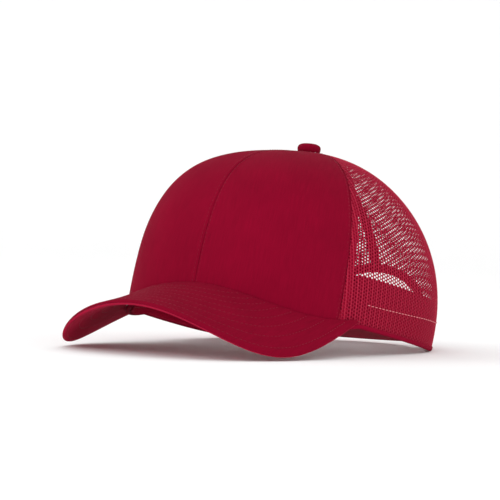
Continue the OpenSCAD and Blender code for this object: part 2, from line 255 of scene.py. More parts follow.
class Nodes:
    """A material's node tree, with short ways to add to it."""

    def __init__(self, name):
        self.material = bpy.data.materials.new(name)
        self.material.use_nodes = True
        self.tree = self.material.node_tree
        self.shader = self.tree.nodes["Principled BSDF"]

    def add(self, kind, inputs=(), **settings):
        node = self.tree.nodes.new("ShaderNode" + kind)
        for key, value in settings.items():
            setattr(node, key, value)
        for key, value in dict(inputs).items():
            if isinstance(value, bpy.types.NodeSocket):
                self.tree.links.new(value, node.inputs[key])
            else:
                node.inputs[key].default_value = value
        return node

    def math(self, operation, a, b):
        return self.add("Math", {0: a, 1: b}, operation=operation).outputs[0]

    def noise(self, vector, scale, detail=2.0, roughness=0.5):
        node = self.add("TexNoise", {"Vector": vector, "Scale": scale, "Detail": detail,
                                     "Roughness": roughness})
        return node.outputs["Fac"]

    def stretch(self, vector, scale, turn=0.0):
        node = self.add("Mapping", {"Vector": vector, "Scale": scale,
                                    "Rotation": (0, 0, math.radians(turn))})
        return node.outputs["Vector"]

    def wave(self, vector, scale, direction="X", distortion=0.0):
        node = self.add("TexWave", {"Vector": vector, "Scale": scale,
                                    "Distortion": distortion, "Detail": 1.0},
                        wave_type="BANDS", bands_direction=direction)
        return node.outputs["Fac"]

    def tint(self, factor, dark, light, low=0.0, high=1.0):
        ramp = self.add("ValToRGB", {"Fac": factor})
        ramp.color_ramp.elements[0].position = low
        ramp.color_ramp.elements[1].position = high
        ramp.color_ramp.elements[0].color = (*dark, 1)
        ramp.color_ramp.elements[1].color = (*light, 1)
        return ramp.outputs["Color"]

    def mix(self, factor, a, b, blend="MIX"):
        node = self.add("Mix", data_type="RGBA", blend_type=blend)
        for key, value in ((0, factor), (6, a), (7, b)):
            if isinstance(value, bpy.types.NodeSocket):
                self.tree.links.new(value, node.inputs[key])
            else:
                node.inputs[key].default_value = value if key == 0 else (*value, 1)
        return node.outputs[2]

    def finish(self, color, height=None, strength=0.3, distance=0.0002, roughness=0.8,
               **sockets):
        link = self.tree.links.new
        link(color, self.shader.inputs["Base Color"])
        if isinstance(roughness, bpy.types.NodeSocket):
            link(roughness, self.shader.inputs["Roughness"])
        else:
            self.shader.inputs["Roughness"].default_value = roughness
        if height is not None:
            lumps = self.add("Bump", {"Height": height, "Strength": strength,
                                      "Distance": distance})
            link(lumps.outputs["Normal"], self.shader.inputs["Normal"])
        for key, value in sockets.items():
            self.shader.inputs[key.replace("_", " ")].default_value = value
        return self.material


def shade(color, factor):
    return tuple(min(1.0, c * factor) for c in color)


def cloth(name, color, rib=0.55, turn=35.0, sheen=0.015, streaks=0.09, blotch=0.1, bump_by=0.35):
    """Woven cotton: fine diagonal ribs, a faint upright grain and slight unevenness of the dye.
    UVs are in millimetres, and rib is the weave's pitch."""
    n = Nodes(name)
    uv = n.add("TexCoord").outputs["UV"]
    place = n.add("TexCoord").outputs["Object"]
    weave = n.wave(n.stretch(uv, (1, 1, 1), turn), 0.314 / rib, "X", 0.6)
    cross = n.wave(n.stretch(uv, (1, 1, 1), turn + 90), 0.314 / (rib * 0.8), "X", 0.6)
    fibre = n.noise(n.stretch(uv, (3.2, 3.2, 3.2)), 1.0, 3.0, 0.6)
    grain = n.noise(n.stretch(uv, (1.6, 0.08, 1)), 1.0, 3.0, 0.55)
    patch = n.noise(n.stretch(place, (38, 38, 38)), 1.0, 2.0)
    base = n.tint(grain, shade(color, 1 - streaks), shade(color, 1 + streaks), 0.3, 0.7)
    uneven = n.tint(patch, (1 - blotch,) * 3, (1, 1, 1), 0.3, 0.7)
    base = n.mix(1.0, base, uneven, "MULTIPLY")
    threads = n.tint(n.math("MULTIPLY", weave, fibre), (0.8,) * 3, (1, 1, 1), 0.02, 0.4)
    base = n.mix(0.6, base, threads, "MULTIPLY")
    height = n.math("ADD", n.math("ADD", weave, n.math("MULTIPLY", cross, 0.4)),
                    n.math("ADD", fibre, n.math("MULTIPLY", grain, 0.6)))
    return n.finish(base, height, bump_by, 0.00018, 0.86, Sheen_Weight=sheen,
                    Sheen_Roughness=0.45, Sheen_Tint=(1.0, 0.3, 0.4, 1), Specular_IOR_Level=0.3,
                    IOR=1.12)


def knit_yarn(name, color, light):
    """Polyester yarn of the mesh: thin threads, with chain ribs painted in a lighter colour, a
    painted highlight on the raised ribs.
    """
    n = Nodes(name)
    uv = n.add("TexCoord").outputs["UV"]
    rib = n.add("Attribute", attribute_name="rib").outputs["Fac"]
    twist = n.wave(n.stretch(uv, (1, 1, 1), 52), 0.314 / 0.42, "X", 1.0)
    fuzz = n.noise(n.stretch(uv, (2.4, 2.4, 2.4)), 1.0, 2.0)
    # Painted highlight: the rib attribute mixes in the lighter colour on the chain ribs.
    base = n.mix(rib, color, light)
    base = n.mix(0.5, base, n.tint(fuzz, (0.78,) * 3, (1, 1, 1), 0.3, 0.7), "MULTIPLY")
    return n.finish(base, n.math("ADD", twist, fuzz), 0.3, 0.00015, 0.7, Sheen_Weight=0.02,
                    Sheen_Roughness=0.4, Sheen_Tint=(1.0, 0.4, 0.4, 1),
                    Specular_IOR_Level=0.08)


def stiff_gauze(name, color):
    """Buckram: an open plain weave stiffened with starch."""
    n = Nodes(name)
    uv = n.add("TexCoord").outputs["UV"]
    warp = n.wave(uv, 0.314 / 1.1, "X", 0.4)
    weft = n.wave(uv, 0.314 / 1.1, "Y", 0.4)
    fuzz = n.noise(n.stretch(uv, (1.5, 1.5, 1.5)), 1.0, 3.0)
    grid = n.math("MAXIMUM", warp, weft)
    base = n.tint(grid, shade(color, 0.62), color, 0.25, 0.9)
    base = n.mix(0.5, base, n.tint(fuzz, (0.82,) * 3, (1, 1, 1), 0.3, 0.7), "MULTIPLY")
    return n.finish(base, n.math("ADD", grid, fuzz), 0.5, 0.0003, 0.75, Specular_IOR_Level=0.3)


def yarn(name, color):
    """Sewing thread, twisted."""
    n = Nodes(name)
    place = n.add("TexCoord").outputs["Object"]
    twist = n.wave(n.stretch(place, (2600, 2600, 1900)), 0.3, "DIAGONAL", 1.5)
    base = n.tint(twist, shade(color, 0.72), shade(color, 1.15), 0.1, 0.9)
    return n.finish(base, twist, 0.4, 0.0001, 0.5, Sheen_Weight=0.03, Sheen_Roughness=0.4,
                    Specular_IOR_Level=0.2)


def moulded(name, color, roughness=0.42, grain=2200, wear=0.12):
    """Moulded plastic with a fine spark-eroded texture and slight scuffs."""
    n = Nodes(name)
    place = n.add("TexCoord").outputs["Object"]
    fine = n.noise(n.stretch(place, (grain,) * 3), 1.0, 2.0)
    scuff = n.noise(n.stretch(place, (90, 420, 420)), 1.0, 4.0, 0.65)
    base = n.tint(scuff, shade(color, 1 - wear), shade(color, 1 + wear), 0.35, 0.7)
    gloss = n.add("MapRange", {"Value": scuff, "From Min": 0.3, "From Max": 0.75,
                               "To Min": roughness - 0.07, "To Max": roughness + 0.12})
    return n.finish(base, fine, 0.12, 0.00006, gloss.outputs["Result"],
                    Specular_IOR_Level=0.5)


def pressed_metal(name, color):
    """Plated pressed steel with draw marks."""
    n = Nodes(name)
    place = n.add("TexCoord").outputs["Object"]
    marks = n.noise(n.stretch(place, (300, 300, 2600)), 1.0, 4.0, 0.6)
    spots = n.noise(n.stretch(place, (700, 700, 700)), 1.0, 3.0)
    base = n.tint(spots, shade(color, 0.8), color, 0.3, 0.6)
    gloss = n.add("MapRange", {"Value": marks, "To Min": 0.25, "To Max": 0.5})
    return n.finish(base, marks, 0.15, 0.00005, gloss.outputs["Result"], Metallic=1.0)


FRONT_COLOR = (0.237, 0.0019, 0.0195)
VISOR_COLOR = (0.222, 0.0015, 0.0180)
MESH_COLOR = (0.27, 0.002, 0.024)
# The chain ribs' colour is the mesh yarn painted lighter, a painted highlight on the raised ribs.
MESH_RIB_PAINTED_HIGHLIGHT = (0.50, 0.020, 0.055)
# The seam tape and the sweatband get a lighter red than their cloth has: painted light that offsets
# the shade on them behind the mesh holes.
TAPE_COLOR_WITH_PAINTED_LIGHT = (0.46, 0.005, 0.036)
BAND_COLOR_WITH_PAINTED_LIGHT = (0.44, 0.004, 0.036)
HEM_COLOR = (0.27, 0.0022, 0.024)
# The visor's underside is the same twill as its top, painted lighter: painted light in place of the
# light its shaded underside lacks.
UNDER_COLOR_WITH_PAINTED_LIGHT = (0.40, 0.010, 0.042)

front_cloth = cloth("front_twill", FRONT_COLOR)
visor_cloth = cloth("visor_twill", VISOR_COLOR, turn=-35)
button_cloth = cloth("button_twill", shade(FRONT_COLOR, 0.92), rib=0.5)
# The tape and sweatband cloths carry that painted light.
tape_cloth_with_painted_light = cloth("seam_tape", TAPE_COLOR_WITH_PAINTED_LIGHT, rib=0.8, turn=0, streaks=0.05)
band_cloth_with_painted_light = cloth("sweatband_cloth", BAND_COLOR_WITH_PAINTED_LIGHT, rib=0.6, turn=20)
hem_cloth = cloth("hem_cloth", HEM_COLOR, rib=0.6, turn=20)
under_cloth_with_painted_light = cloth("visor_under_twill_painted_light", UNDER_COLOR_WITH_PAINTED_LIGHT, turn=-35)
mesh_yarn = knit_yarn("mesh_yarn", MESH_COLOR, MESH_RIB_PAINTED_HIGHLIGHT)
gauze = stiff_gauze("buckram", (0.70, 0.68, 0.62))
front_thread = yarn("front_thread", (0.225, 0.002, 0.019))
visor_thread = yarn("visor_thread", (0.235, 0.002, 0.020))
light_thread = yarn("light_thread", (0.80, 0.24, 0.27))
tape_thread = yarn("tape_thread", (0.50, 0.015, 0.055))
strap_plastic = moulded("strap_plastic", (0.29, 0.004, 0.026))
board_plastic = moulded("visor_board", (0.72, 0.72, 0.70), 0.55, 1500)
steel = pressed_metal("button_metal", (0.66, 0.66, 0.68))

# ---------------------------------------------------------------- meshes


def make(name, points, faces, material, uv=None, rib=None):
    """A mesh object from points in metres; uv and rib are given per point."""
    mesh = bpy.data.meshes.new(name)
    points = np.asarray(points, float).reshape(-1, 3)
    mesh.from_pydata(points.tolist(), [], [tuple(f) for f in faces])
    mesh.update()
    mesh.polygons.foreach_set("use_smooth", np.ones(len(mesh.polygons), bool))
    corner = np.empty(len(mesh.loops), np.int32)
    mesh.loops.foreach_get("vertex_index", corner)
    if uv is not None:
        layer = mesh.uv_layers.new(name="millimetres")
        layer.data.foreach_set("uv", np.asarray(uv, float).reshape(-1, 2)[corner].ravel())
    if rib is not None:
        mesh.attributes.new("rib", "FLOAT", "POINT").data.foreach_set(
            "value", np.asarray(rib, np.float32))
    mesh.materials.append(material)
    obj = bpy.data.objects.new(name, mesh)
    bpy.context.scene.collection.objects.link(obj)
    return obj


def settle(obj, slot, *cad_nodes, body="cap"):
    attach(obj, body)
    if cad_nodes:
        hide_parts(*cad_nodes)
    return obj


def slab_faces(c, r):
    """Quads of a closed sheet from two c by r grids of points, outside first."""
    i, j = np.meshgrid(np.arange(c - 1), np.arange(r - 1), indexing="ij")
    a = (i * r + j).ravel()
    skin_out = np.stack([a, a + r, a + r + 1, a + 1], 1)
    n = c * r
    skin_in = skin_out[:, ::-1] + n

    def wall(edge):
        p, q = edge[:-1], edge[1:]
        return np.stack([p, p + n, q + n, q], 1)

    column = np.arange(r)
    rank = np.arange(c) * r
    walls = [wall(column), wall((c - 1) * r + column)[:, ::-1], wall(rank)[:, ::-1],
             wall(rank + r - 1)]
    return np.concatenate([skin_out, skin_in, *walls]).tolist()


def arc_uv(points):
    """Millimetres along the two directions of a grid of points in millimetres."""
    def along(p, axis):
        step = np.linalg.norm(np.diff(p, axis=axis), axis=-1)
        total = np.cumsum(step, axis=axis)
        return np.concatenate([np.zeros_like(np.take(total, [0], axis)), total], axis)
    u = along(points, 0)
    u = u - np.take(u, [u.shape[0] // 2], 0)
    return np.stack([u, along(points, 1)], -1)


def flat_area(points):
    """Area in square metres of a grid of points in millimetres."""
    a, b = points[1:, 1:] - points[:-1, :-1], points[1:, :-1] - points[:-1, 1:]
    return float(np.linalg.norm(np.cross(a, b), axis=-1).sum() / 2e6)


def sheet_of(name, outer, inner, material, closed_uv=None):
    """A closed thin sheet from two grids of points in millimetres."""
    uv = arc_uv(outer) if closed_uv is None else closed_uv
    points = row(np.concatenate([outer.reshape(-1, 3), inner.reshape(-1, 3)]))
    return make(name, points, slab_faces(*outer.shape[:2]), material,
                uv=np.concatenate([uv.reshape(-1, 2)] * 2))


# Boxes that the pieces are cut from, width and length in millimetres. They are usual pattern
# sizes, and aren't measured on the surfaces below.
FRONT_CUT, VISOR_CUT = (105, 165), (176, 100)
SIDE_MESH_WIDTH, BACK_MESH_WIDTH, LEAST_MESH_LENGTH = 115, 105, 150
# The narrowest width that declare() takes for a sheet
LEAST_SHEET_WIDTH = 10.2
# Share of the uncut back panel that is counted in its area: an estimate, less than the arch leaves
BACK_MESH_SHARE = 0.62


def declare(obj, width, length, area, held, rests_on=(), with_pieces=()):
    """Checks a sheet's box in millimetres against its area in square metres, which for most
    pieces is measured on the piece's own surface, and raises if the box is too large."""
    width = max(width, LEAST_SHEET_WIDTH)
    box = width * length / 1e6
    if area / box < 0.3:
        raise ValueError(obj.name + ": the cut's box is too large for its area")


def stitches(name, path, out, material, slot, pitch=2.9, length=2.0, radius=0.2, lift=0.05,
             body="cap"):
    """A row of lock stitches along a path of points in millimetres, out being the way up."""
    path, out = np.asarray(path, float), unit(np.asarray(out, float))
    run = np.concatenate([[0], np.cumsum(np.linalg.norm(np.diff(path, axis=0), axis=1))])
    count = max(1, int(run[-1] / pitch))
    middle = (np.arange(count) + 0.5) * run[-1] / count
    rings = np.array([(-0.5, 0.3, -0.8), (-0.36, 0.85, 0.1), (0.0, 1.0, 0.4), (0.36, 0.85, 0.1),
                      (0.5, 0.3, -0.8)])
    s = middle[:, None] + rings[None, :, 0] * length
    centre = np.stack([np.interp(s, run, path[:, k]) for k in range(3)], -1)
    up = unit(np.stack([np.interp(s, run, out[:, k]) for k in range(3)], -1))
    ahead = np.stack([np.interp(s + 0.3, run, path[:, k]) - np.interp(s - 0.3, run, path[:, k])
                      for k in range(3)], -1)
    side = unit(np.cross(up, ahead))
    centre = centre + up * (lift + radius * rings[None, :, 2, None])
    turns = np.arange(6) * math.pi / 3
    r = radius * rings[None, :, 1, None, None]
    points = (centre[:, :, None] + r * np.cos(turns)[None, None, :, None] * side[:, :, None]
              + r * np.sin(turns)[None, None, :, None] * up[:, :, None])
    one = [[k * 6 + j, k * 6 + (j + 1) % 6, k * 6 + 6 + (j + 1) % 6, k * 6 + 6 + j]
           for k in range(4) for j in range(6)]
    ends = [[5, 4, 3, 2, 1, 0], [24, 25, 26, 27, 28, 29]]
    faces = [[i * 30 + v for v in f] for i in range(count) for f in one + ends]
    return settle(make(name, row(points.reshape(-1, 3)), faces, material), slot, body=body)


def packed(a, b, count, fine=0.75):
    """Numbers from a to b, closer together near both ends."""
    u = np.linspace(0, 1, count)
    return a + (b - a) * ((1 - fine) * u + fine * (1 - np.cos(math.pi * u)) / 2)


def ripple(x, y, seed=0.0):
    """Smooth unevenness of handled cloth, from -1 to 1."""
    return (np.sin(0.071 * x + 0.043 * y + seed) + np.sin(0.113 * y - 0.052 * x + 1.7 * seed)
            + np.sin(0.19 * x + 2.3 + seed) * np.sin(0.16 * y + seed) * 0.6) / 2.6


# ---------------------------------------------------------------- crown


def beside(q, t, edge):
    """Distance in millimetres along the crown from the grain line at angle edge."""
    speed = np.linalg.norm(crown(q + 0.5, t) - crown(q - 0.5, t), axis=-1)
    return np.abs(q - edge) * speed


def front_panel(side):
    lo, hi = 0.06, FRONT_SEAM - 0.06
    q = np.broadcast_to(packed(lo, hi, 86)[:, None], (86, 130))
    t = np.broadcast_to(packed(0, TOP, 130, 0.35)[None, :], (86, 130))
    centre, seam = beside(q, t, 0), beside(q, t, FRONT_SEAM)
    up = np.linalg.norm(crown(q, t) - crown(q, t * 0), axis=-1)
    pucker = np.sin(up * 1.15) * (bump(centre - 2.2, 2.4) + 0.8 * bump(seam - 2.5, 2.6))
    depth = (0.42 * bump(centre, 0.75) + 0.42 * bump(seam, 0.8)
             - 0.10 * bump(centre - 1.6, 0.9) - 0.12 * bump(seam - 1.8, 1.0)
             + 0.05 * pucker
             + 0.14 * (1 - ripple(beside(q, t, 0), up, 0.4 * side)))
    depth = np.clip(depth, -0.15, TWILL - 0.25)
    outer, inner = skin(q, t, depth), skin(q, t, np.full_like(q, TWILL))
    if side < 0:
        outer, inner = outer[::-1] * (-1, 1, 1), inner[::-1] * (-1, 1, 1)
    name = "front_panel_" + ("left" if side > 0 else "right")
    obj = settle(sheet_of(name + "_cloth", outer, inner, front_cloth), "front_twill", name)
    declare(obj, *FRONT_CUT, flat_area(outer), "stretched", ["front_buckram_" + name[12:]])
    # top stitching beside the centre seam and the side seam
    run = np.linspace(0.01, 0.965, 200)
    for label, edge, off in (("centre", 0.0, 1.5), ("side", FRONT_SEAM, -2.0)):
        speed = np.linalg.norm(crown(edge + 0.5, run) - crown(edge - 0.5, run), axis=-1)
        line = edge + np.clip(off / speed, -9, 9)
        path, up = skin(line, run, np.full_like(run, 0.12)), crown_out(line, run)
        if side < 0:
            path, up = path * (-1, 1, 1), up * (-1, 1, 1)
        stitches(f"{name}_{label}_stitches", path, up, front_thread, "front_twill", 2.6, 1.7,
                 0.16, 0.0)


def buckram_panel(side):
    q, t = np.meshgrid(np.linspace(0.4, FRONT_SEAM - 0.4, 50), np.linspace(0, TOP, 70),
                       indexing="ij")
    outer = skin(q, t, np.full_like(q, BUCKRAM_DEPTH + 0.03))
    inner = skin(q, t, np.full_like(q, BUCKRAM_DEPTH + BUCKRAM))
    if side < 0:
        outer, inner = outer[::-1] * (-1, 1, 1), inner[::-1] * (-1, 1, 1)
    name = "front_buckram_" + ("left" if side > 0 else "right")
    obj = settle(sheet_of(name + "_gauze", outer, inner, gauze), "buckram", name)
    declare(obj, *FRONT_CUT, flat_area(outer), "stretched", ["front_panel_" + name[14:] + "_cloth"])


COLUMN, ROW = 2.15, 2.05
HOLE_X, HOLE_Y = 0.75, 0.69


def knitted(lo, hi, arch):
    """A panel of open knit: pairs of hole columns between chain ribs, cut off at the seams."""
    mid = (lo + hi) / 2
    climbs = np.linspace(0, TOP, 180)
    half = 60
    angles = np.linspace(lo - 4, hi + 4, 2 * half + 1)
    spine = crown(mid, climbs)
    height = np.concatenate([[0], np.cumsum(np.linalg.norm(np.diff(spine, axis=0), axis=1))])
    field = crown(angles[None, :], climbs[:, None])
    across = np.cumsum(np.linalg.norm(np.diff(field, axis=1), axis=2), axis=1)
    across = np.concatenate([np.zeros((len(climbs), 1)), across], 1)
    across -= across[:, [half]]
    reach = 75
    table = np.array([np.interp(np.arange(-reach, reach + 1), a, angles) for a in across])

    def place(a, b):
        t = np.interp(b, height, climbs)
        k = np.clip(t / TOP * (len(climbs) - 1), 0, len(climbs) - 1.001)
        m = np.clip(a + reach, 0, 2 * reach - 0.001)
        k0, m0 = k.astype(int), m.astype(int)
        fc, fm = k - k0, m - m0
        q = ((1 - fc) * ((1 - fm) * table[k0, m0] + fm * table[k0, m0 + 1])
             + fc * ((1 - fm) * table[k0 + 1, m0] + fm * table[k0 + 1, m0 + 1]))
        return q, t

    columns = np.arange(-34, 34)
    rows = np.arange(-1, int(height[-1] / ROW) + 2)
    i, j = (g.ravel() for g in np.meshgrid(columns, rows, indexing="ij"))
    ca, cb = (i + 0.5) * COLUMN, (j + 0.5 * (i % 2)) * ROW
    step = np.array([(-1, -1), (0, -1), (1, -1), (1, 0), (1, 1), (0, 1), (-1, 1), (-1, 0)])
    ba = ca[:, None] + step[:, 0] * COLUMN / 2
    bb = cb[:, None] + step[:, 1] * ROW / 2
    q, t = place(ba, bb)
    inside = (q > lo + 0.1) & (q < hi - 0.1)
    keep = inside.any(1) & (bb > 0).any(1) & (cb < height[-1] + ROW)
    if arch:
        qc, tc = place(ca, cb)
        rise = (CROWN_HEIGHT - hem(qc)) * climb(qc, tc)
        keep &= ~((180 - qc < ARCH_HALF) & (rise < arch_height(qc)))
    i, ca, cb, ba, bb = i[keep], ca[keep], cb[keep], ba[keep], bb[keep]
    # the frame round each hole is shared with the neighbours, the hole's rim is its own
    keys = np.stack([np.round(ba / (COLUMN / 2)), np.round(bb / (ROW / 4))], -1).astype(int)
    unique, index = np.unique(keys.reshape(-1, 2), axis=0, return_inverse=True)
    index = index.reshape(-1, 8)
    fa, fb = unique[:, 0] * COLUMN / 2, unique[:, 1] * ROW / 4
    rib = np.choose(unique[:, 0] % 4, (1.0, 0.0, 0.75, 0.0))
    hole = unit(step.astype(float)) * (HOLE_X, HOLE_Y)
    push = np.where(i % 2 == 0, 0.12, -0.12)
    ha = ca[:, None] + push[:, None] + hole[:, 0]
    hb = cb[:, None] + hole[:, 1]
    chain = np.where(unique[:, 1] % 2 == 0, 1.0, 0.0)
    a = np.concatenate([fa, ha.ravel()])
    b = np.concatenate([fb, hb.ravel()])
    q, t = place(a, b)
    q = np.clip(q, lo + 0.06, hi - 0.06)
    zero = np.zeros(ha.size)
    outer = np.concatenate([0.29 - rib * (0.15 + 0.06 * chain), zero + 0.35])
    inner = np.concatenate([0.47 + rib * 0.04, zero + 0.40])
    points = np.concatenate([skin(q, t, outer), skin(q, t, inner)])
    n = len(q)
    own = len(unique) + np.arange(ha.size).reshape(-1, 8)
    after = np.roll(np.arange(8), -1)
    front = np.stack([index, index[:, after], own[:, after], own], -1).reshape(-1, 4)
    back = front[:, ::-1] + n
    rim_walls = np.stack([own, own[:, after], own[:, after] + n, own + n], -1).reshape(-1, 4)
    edges = np.stack([index, index[:, after]], -1).reshape(-1, 2)
    ordered = np.sort(edges, axis=1)
    _, first, uses = np.unique(ordered, axis=0, return_index=True, return_counts=True)
    open_edges = edges[first[uses == 1]]
    border = np.stack([open_edges[:, 1], open_edges[:, 0], open_edges[:, 0] + n,
                       open_edges[:, 1] + n], -1)
    faces = np.concatenate([front, back, rim_walls, border])
    # points that the seams pushed together become one, so the sheet stays closed
    tone = np.concatenate([rib, zero] * 2)
    uv = np.concatenate([np.stack([a, b], -1)] * 2)
    _, first, merged = np.unique(np.round(points, 3), axis=0, return_index=True,
                                 return_inverse=True)
    faces = [tuple(dict.fromkeys(f)) for f in merged.reshape(-1)[faces].tolist()]
    faces = [f for f in faces if len(f) > 2]
    return points[first], faces, uv[first], tone[first], height[-1]


def mesh_panel(name, lo, hi, side, arch=False):
    points, faces, uv, tone, height = knitted(lo, hi, arch)
    if side < 0:
        points, faces = points * (-1, 1, 1), [f[::-1] for f in faces]
    obj = make(name + "_knit", row(points), faces, mesh_yarn, uv=uv, rib=tone)
    settle(obj, "mesh", name)
    q, t = np.meshgrid(np.linspace(lo, hi, 40), np.linspace(0, TOP, 60), indexing="ij")
    area = flat_area(crown(q, t)) * (BACK_MESH_SHARE if arch else 1.0)
    declare(obj, BACK_MESH_WIDTH if arch else SIDE_MESH_WIDTH, max(LEAST_MESH_LENGTH, height), area,
            "stretched")


def tape(name, edge, depth, width=TAPE_WIDTH, low=0.0):
    count = 120
    t = np.linspace(low, TOP - 0.01, count)
    speed = np.linalg.norm(crown(edge + 0.5, t) - crown(edge - 0.5, t), axis=-1)
    half = np.minimum(width / 2 / speed, 18)
    share = np.linspace(-1, 1, 17)
    q = edge + share[:, None] * half[None, :]
    t = np.broadcast_to(t[None, :], q.shape)
    crest = 0.12 * bump(share, 0.12)[:, None] + 0.1 * bump(np.abs(share) - 0.55, 0.1)[:, None]
    roll = 0.22 * bump(1 - np.abs(share), 0.08)[:, None]
    base = depth + 0 * share[:, None]
    if 0 < abs(edge) < 90:
        base = base - (FRONT_TAPE_DEPTH - MESH) * ease(-0.1, 0.3, share * np.sign(edge))[:, None]
    outer = skin(q, t, np.broadcast_to(base + roll, q.shape))
    inner = skin(q, t, np.broadcast_to(base + TAPE - roll - crest + 0.1, q.shape))
    obj = settle(sheet_of(name + "_cloth", outer, inner, tape_cloth_with_painted_light), "tape", name)
    length = float(np.linalg.norm(np.diff(crown(edge, t[0]), axis=0), axis=1).sum())
    declare(obj, width, length, min(flat_area(outer), 0.999 * width * length / 1e6),
            "stretched")
    run = np.linspace(low + 0.01, 0.9, 160)
    speed = np.linalg.norm(crown(edge + 0.5, run) - crown(edge - 0.5, run), axis=-1)
    for tag, off in (("a", -0.28 * width), ("b", 0.28 * width)):
        line = edge + np.clip(off / speed, -10, 10)
        stitches(f"{name}_stitches_{tag}", skin(line, run, np.full_like(run, depth + TAPE)),
                 -crown_out(line, run), tape_thread, "tape", 3.0, 2.1, 0.18, 0.02)


for s in (1, -1):
    hand = "left" if s > 0 else "right"
    front_panel(s)
    buckram_panel(s)
    mesh_panel("side_mesh_" + hand, FRONT_SEAM, BACK_SEAM, s)
    mesh_panel("back_mesh_" + hand, BACK_SEAM, 180, s, arch=True)
    tape("seam_tape_front_" + hand, s * FRONT_SEAM, FRONT_TAPE_DEPTH)
    tape("seam_tape_back_" + hand, s * BACK_SEAM, MESH_TAPE_DEPTH, BACK_TAPE_WIDTH)
tape("seam_tape_front", 0.0, FRONT_TAPE_DEPTH)
tape("seam_tape_back", 180.0, MESH_TAPE_DEPTH + 0.1, BACK_TAPE_WIDTH,
     float(climb_at(180.0, ARCH_HEIGHT + 5)))


def sweatband():
    heights = np.concatenate([[0.0, 0.25, 0.6], np.linspace(1.2, SWEAT_HEIGHT - 1.2, 34),
                              [SWEAT_HEIGHT - 0.6, SWEAT_HEIGHT - 0.25, SWEAT_HEIGHT]])
    roll = 0.5 * (bump(heights, 0.7) + bump(SWEAT_HEIGHT - heights, 0.7))
    groove = 0.16 * (bump(heights - 4, 0.6) + bump(heights - 26, 0.6))
    q = np.linspace(-SWEAT_END, SWEAT_END, 420)
    grid_q, h = np.meshgrid(q, heights, indexing="ij")
    t = climb_at(grid_q, h)
    wave = 0.08 * np.sin(grid_q * 1.9) * bump(h - 4, 5)
    depth = SWEAT_DEPTH - 0.95 * ease(FRONT_SEAM + 3, FRONT_SEAM + 9, np.abs(grid_q))
    outer = skin(grid_q, t, depth + roll)
    inner = skin(grid_q, t, SWEAT_DEPTH + SWEAT - roll - groove + wave)
    obj = settle(sheet_of("sweatband_cloth", outer, inner, band_cloth_with_painted_light), "sweatband", "sweatband")
    length = float(np.linalg.norm(np.diff(crown(q, 0 * q), axis=0), axis=1).sum())
    declare(obj, length, SWEAT_HEIGHT, flat_area(outer), "stretched")
    for tag, h0 in (("low", 4.0), ("high", 26.0)):
        line = np.linspace(-SWEAT_END + 1, SWEAT_END - 1, 500)
        t0 = climb_at(line, np.full_like(line, h0))
        stitches("sweatband_stitches_" + tag,
                 skin(line, t0, np.full_like(line, SWEAT_DEPTH + SWEAT - 0.16)),
                 -crown_out(line, t0), tape_thread, "sweatband", 3.2, 2.2, 0.2, 0.02)


sweatband()


def hem_binding():
    """Folded edge of the sweatband's cloth, which binds the panels' lower edge."""
    section = [(1.7, -0.26), (1.6, -0.46), (1.2, -0.52), (0.7, -0.5), (0.1, -0.46), (-0.5, -0.2),
               (-0.8, 0.5), (-0.8, 1.4), (-0.5, 2.1), (0.2, 2.42), (1.6, 2.45), (1.6, 2.2),
               (0.3, 2.1), (-0.2, 1.5), (-0.2, 0.5), (0.0, -0.05), (0.6, -0.16), (1.2, -0.18),
               (1.6, -0.16)]
    h, d = (np.array(v) for v in zip(*section))
    side_run = (VISOR_END + 0.4, 180 - ARCH_HALF + 0.5)
    front_run = (-VISOR_END - 0.3, VISOR_END + 0.3)
    for hand, side, run in (("left", 1, side_run), ("right", -1, side_run),
                            ("front", 1, front_run)):
        gq, gh = np.meshgrid(np.linspace(*run, 150), h, indexing="ij")
        t = np.where(gh >= 0, climb_at(gq, np.maximum(gh, 0)),
                     gh / (3 * handle(gq, 1) * (CROWN_HEIGHT - hem(gq))))
        p = skin(gq, t, np.broadcast_to(d[None, :], gq.shape))
        p = p if side > 0 else p * (-1, 1, 1)
        c, r = p.shape[:2]
        i, j = np.meshgrid(np.arange(c - 1), np.arange(r), indexing="ij")
        a, b = (i * r + j).ravel(), (i * r + (j + 1) % r).ravel()
        faces = np.stack([a, b, b + r, a + r], 1)
        caps = [list(range(r)), list(range((c - 1) * r, c * r))[::-1]]
        faces = faces.tolist() + caps
        if side > 0:
            faces = [f[::-1] for f in faces]
        uv = arc_uv(p)
        obj = make("hem_binding_" + hand, row(p), faces, hem_cloth, uv=uv.reshape(-1, 2))
        settle(obj, "sweatband")
        length = float(np.linalg.norm(np.diff(p[:, 0], axis=0), axis=1).sum())
        around = float(np.linalg.norm(np.diff(p[0], axis=0), axis=1).sum())
        declare(obj, around / 2, length, around / 2 * length / 1e6, "folded")


hem_binding()


def band_stitch_line():
    """The light row that holds the sweatband, seen on the mesh outside."""
    for side in (1, -1):
        line = np.linspace(FRONT_SEAM + 12, 180 - ARCH_HALF - 3, 200)
        t = climb_at(line, 13.6 + 2.9 * ease(68, 125, line))
        path, up = skin(line, t, np.full_like(line, -0.05)), crown_out(line, t)
        if side < 0:
            path, up = path * (-1, 1, 1), up * (-1, 1, 1)
        stitches("band_stitches_" + ("left" if side > 0 else "right"), path, up, light_thread,
                 "sweatband", 3.4, 2.0, 0.27, 0.04)


band_stitch_line()


